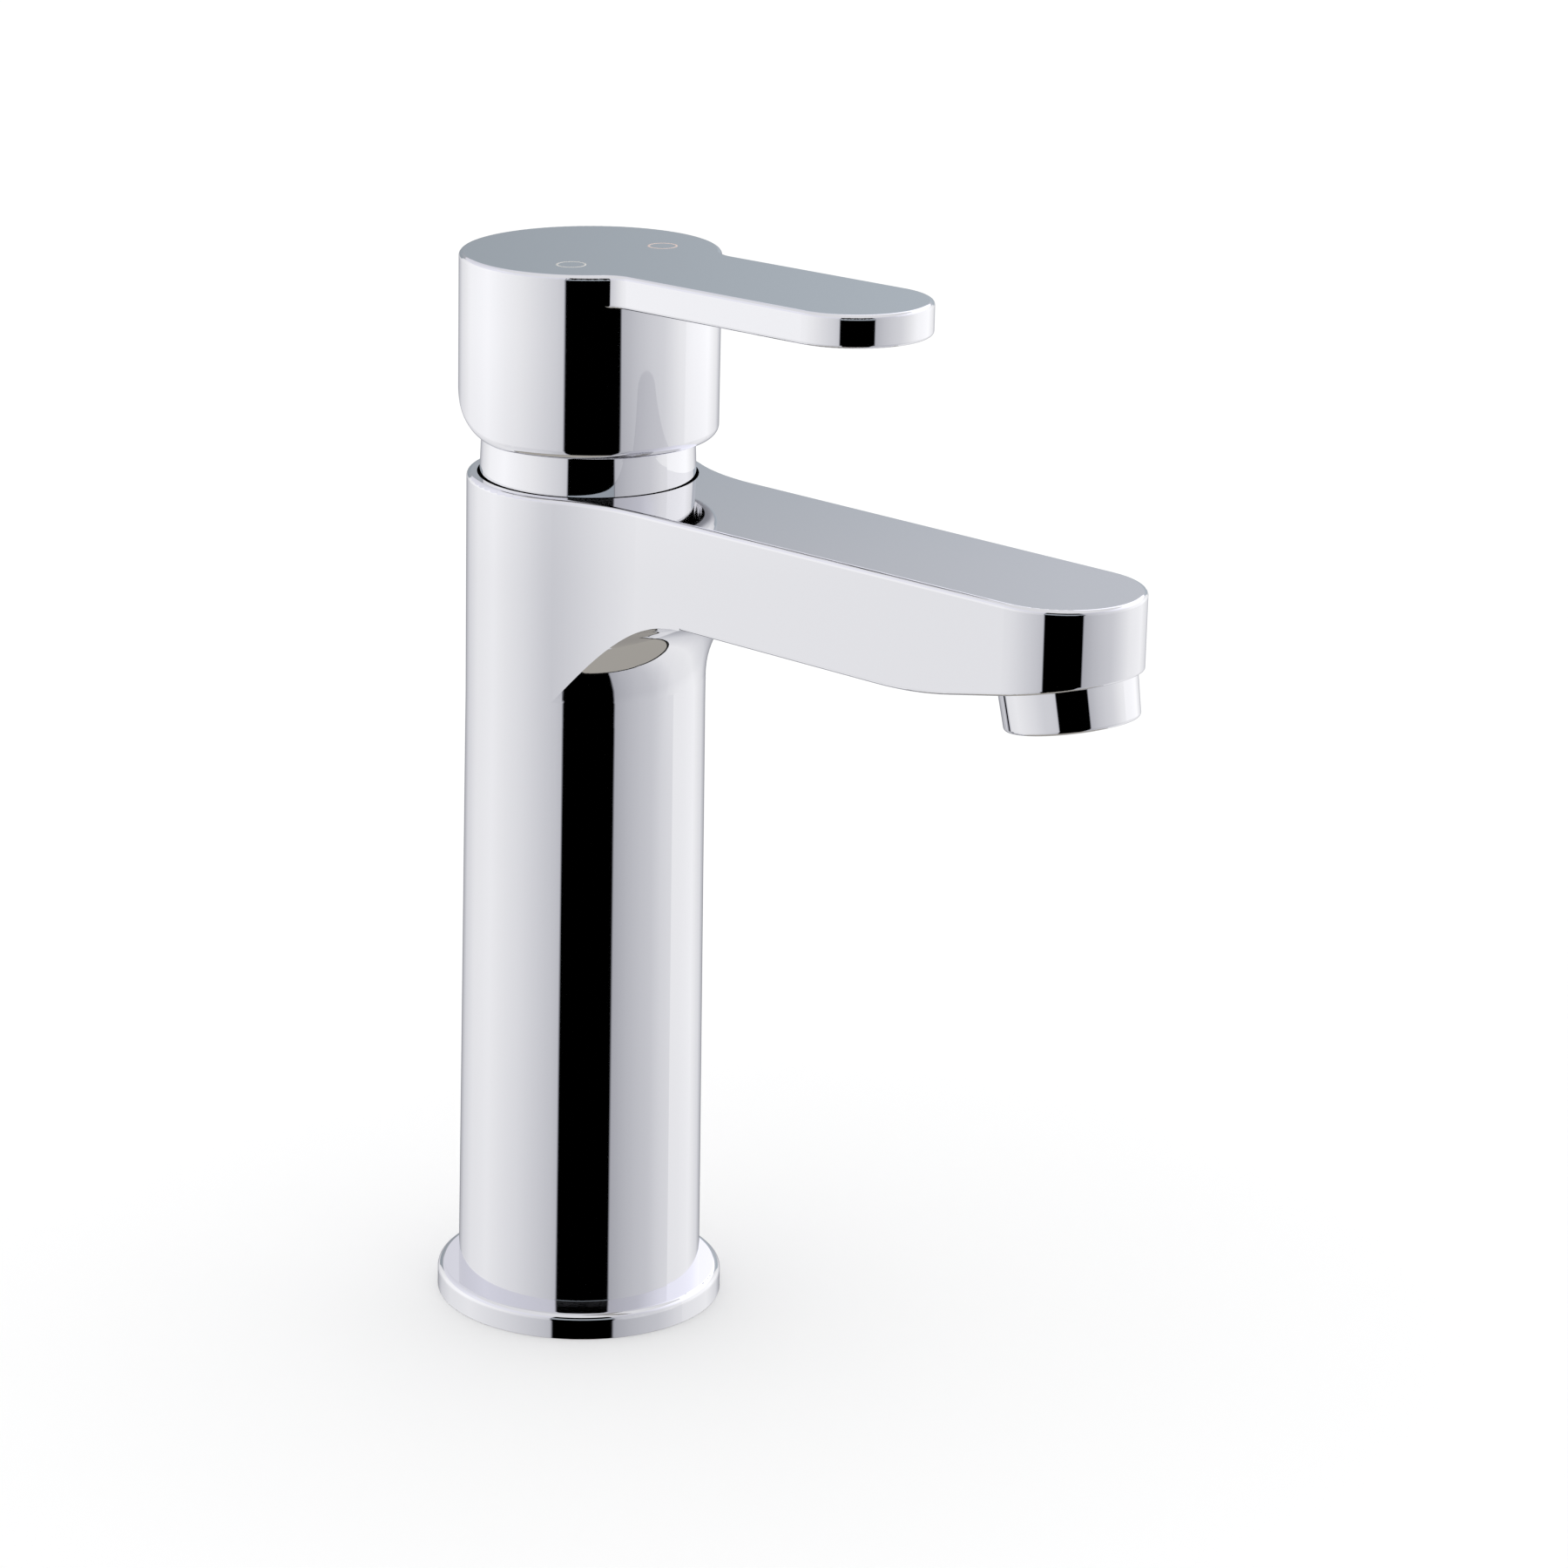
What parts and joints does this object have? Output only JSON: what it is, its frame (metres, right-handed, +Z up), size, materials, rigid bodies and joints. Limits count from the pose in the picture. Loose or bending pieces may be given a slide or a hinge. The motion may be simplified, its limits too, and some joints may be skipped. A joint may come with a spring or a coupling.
{
  "type": "bathroom mixer faucet",
  "caption": "Single-lever basin mixer: round tapering column, straight flat-topped spout with a canted aerator, and a cylindrical handle with a flat lever.",
  "frame": {"origin": "centre of the foot, where the fixing stud's axis meets the deck plane under the base ring", "axes": "+Z up along the column, +X along the spout, +Y to the spout's left seen from behind (hot side)"},
  "size_m": [0.1652, 0.0586, 0.2196],
  "materials": {
    "chrome_body": "polished",
    "chrome_trim": "polished",
    "brass": "machined",
    "copper": "drawn",
    "steel": "ground",
    "rubber": "moulded",
    "cartridge_plastic": "moulded",
    "rotor_plastic": "moulded",
    "ceramic": "lapped ceramic",
    "plug_plastic": "gloss grey"
  },
  "bodies": {
    "faucet_body": {"body_casting": "chrome_body", "base_ring": "chrome_trim", "base_gasket": "rubber", "foot_block": "brass", "hot_riser": "copper", "cold_riser": "copper", "cartridge_base": "cartridge_plastic", "inlet_seals": "rubber", "disc_seals": "rubber", "cartridge_housing": "cartridge_plastic", "housing_oring": "rubber", "fixed_disc": "ceramic", "cartridge_nut": "brass", "bonnet": "chrome_trim", "bonnet_ring": "rubber", "aerator_shell": "chrome_trim", "aerator_gasket": "rubber", "aerator_core": "cartridge_plastic", "aerator_screen": "steel"},
    "turning_stem": {"rotor": "rotor_plastic", "pivot_pin": "steel"},
    "lever_handle": {"handle": "chrome_body", "spindle": "brass", "set_screw": "steel", "screw_plug": "plug_plastic"},
    "disc_slider": {"disc_carrier": "rotor_plastic", "moving_disc": "ceramic"}
  },
  "joints": [
    {"name": "handle_turn", "type": "hinge", "parent": "faucet_body", "child": "turning_stem", "pos_m": [0, 0, 0.181], "axis": [0, 0, 1], "range_deg": [-45, 45]},
    {"name": "handle_tilt", "type": "hinge", "parent": "turning_stem", "child": "lever_handle", "pos_m": [0, 0, 0.181], "axis": [0, -1, 0], "range_deg": [0, 22]},
    {"name": "disc_slide", "type": "slide", "parent": "turning_stem", "child": "disc_slider", "axis": [1, 0, 0], "range_m": [0, 0.0031]}
  ],
  "couplings": [
    {"joint": "disc_slide", "follows": "handle_tilt", "m_per_rad": 0.00722}
  ]
}
